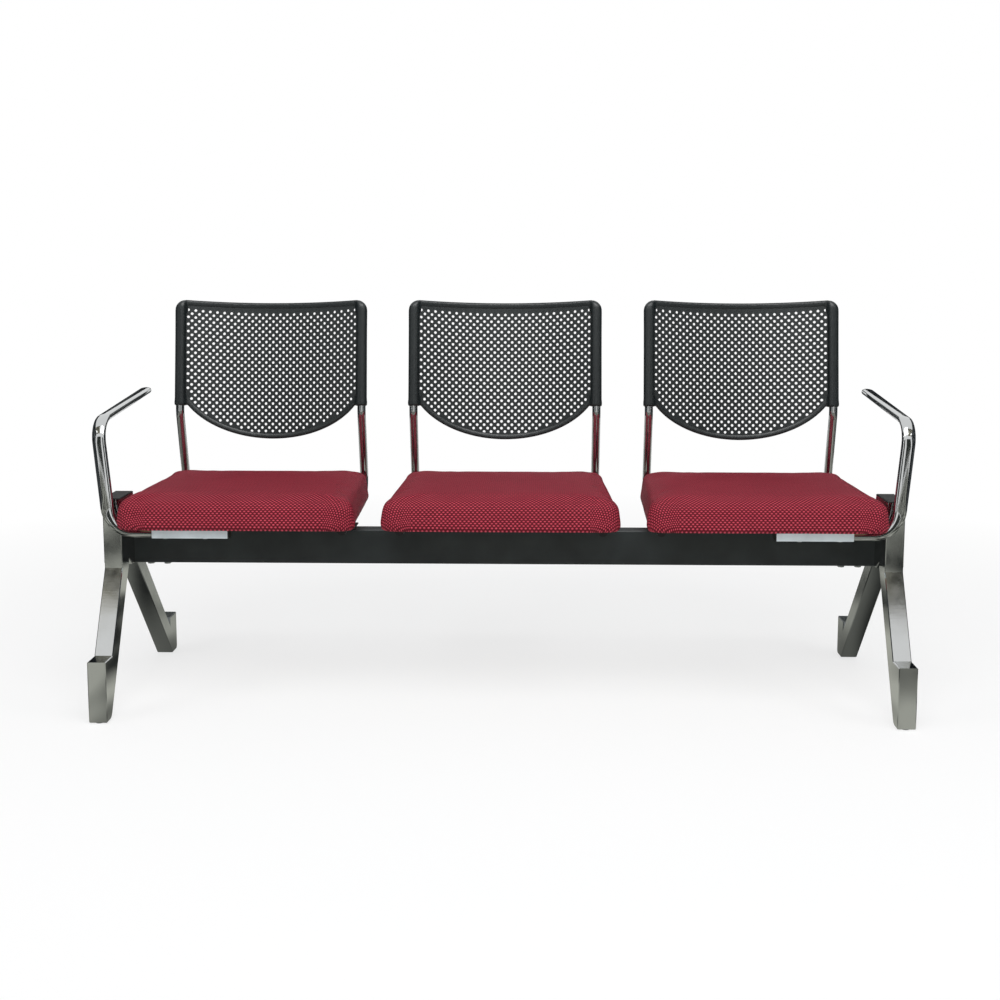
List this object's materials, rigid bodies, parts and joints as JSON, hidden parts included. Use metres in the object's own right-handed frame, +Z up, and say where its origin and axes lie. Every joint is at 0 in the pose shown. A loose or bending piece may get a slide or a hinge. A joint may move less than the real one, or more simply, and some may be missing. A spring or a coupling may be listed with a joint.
{
  "type": "beam seating",
  "caption": "Beam bench for waiting areas with upholstered seats, perforated plastic backs, bright splayed legs and end armrests.",
  "frame": {"origin": "on the floor below the middle of the bench", "axes": "+X to the right-hand end seen from the front, +Y to the back, +Z up"},
  "size_m": [1.6846, 0.5594, 0.843],
  "materials": {
    "beam_paint": "black powder coat, fine texture",
    "bare_steel": "mill finish steel tube",
    "leg_chrome": "bright chrome plate",
    "arm_chrome": "bright chrome plate",
    "tube_chrome": "bright chrome plate",
    "bar_paint": "light grey coat",
    "black_plastic": "black moulded plastic",
    "seat_fabric": "burgundy spacer mesh",
    "seat_board": "moulded plywood",
    "plate_paint": "black powder coat",
    "back_plastic": "charcoal polypropylene, fine grain",
    "glide_plastic": "black nylon",
    "fastener_steel": "zinc-plated steel"
  },
  "bodies": {
    "bench": {"arm_bar_left": "bar_paint", "arm_bar_right": "bar_paint", "arm_screws": "fastener_steel", "armrest_left": "arm_chrome", "armrest_right": "arm_chrome", "back_screws_left": "fastener_steel", "back_screws_middle": "fastener_steel", "back_screws_right": "fastener_steel", "back_shell_left": "back_plastic", "back_shell_middle": "back_plastic", "back_shell_right": "back_plastic", "bar_plugs": "black_plastic", "beam": "beam_paint", "beam_spigot_left": "bare_steel", "beam_spigot_right": "bare_steel", "front_leg_left": "leg_chrome", "front_leg_right": "leg_chrome", "hub_cap_left": "black_plastic", "hub_cap_right": "black_plastic", "leg_hub_left": "leg_chrome", "leg_hub_right": "leg_chrome", "plate_bolts_left": "fastener_steel", "plate_bolts_middle": "fastener_steel", "plate_bolts_right": "fastener_steel", "rail_plugs": "black_plastic", "rear_leg_left": "leg_chrome", "rear_leg_right": "leg_chrome", "seat_board_left": "seat_board", "seat_board_middle": "seat_board", "seat_board_right": "seat_board", "seat_cushion_left": "seat_fabric", "seat_cushion_middle": "seat_fabric", "seat_cushion_right": "seat_fabric", "seat_plate_left": "plate_paint", "seat_plate_middle": "plate_paint", "seat_plate_right": "plate_paint", "side_tube_left_left": "tube_chrome", "side_tube_left_right": "tube_chrome", "side_tube_middle_left": "tube_chrome", "side_tube_middle_right": "tube_chrome", "side_tube_right_left": "tube_chrome", "side_tube_right_right": "tube_chrome", "spigot_bolts": "fastener_steel"},
    "glide_front_left": {"glide_pad_front_left": "glide_plastic", "glide_stud_front_left": "fastener_steel"},
    "glide_front_right": {"glide_pad_front_right": "glide_plastic", "glide_stud_front_right": "fastener_steel"},
    "glide_rear_left": {"glide_pad_rear_left": "glide_plastic", "glide_stud_rear_left": "fastener_steel"},
    "glide_rear_right": {"glide_pad_rear_right": "glide_plastic", "glide_stud_rear_right": "fastener_steel"}
  },
  "joints": [
    {"name": "level_front_left", "type": "slide", "parent": "bench", "child": "glide_front_left", "axis": [0, 0, -1], "range_m": [0, 0.008]},
    {"name": "level_front_right", "type": "slide", "parent": "bench", "child": "glide_front_right", "axis": [0, 0, -1], "range_m": [0, 0.008]},
    {"name": "level_rear_left", "type": "slide", "parent": "bench", "child": "glide_rear_left", "axis": [0, 0, -1], "range_m": [0, 0.008]},
    {"name": "level_rear_right", "type": "slide", "parent": "bench", "child": "glide_rear_right", "axis": [0, 0, -1], "range_m": [0, 0.008]}
  ]
}
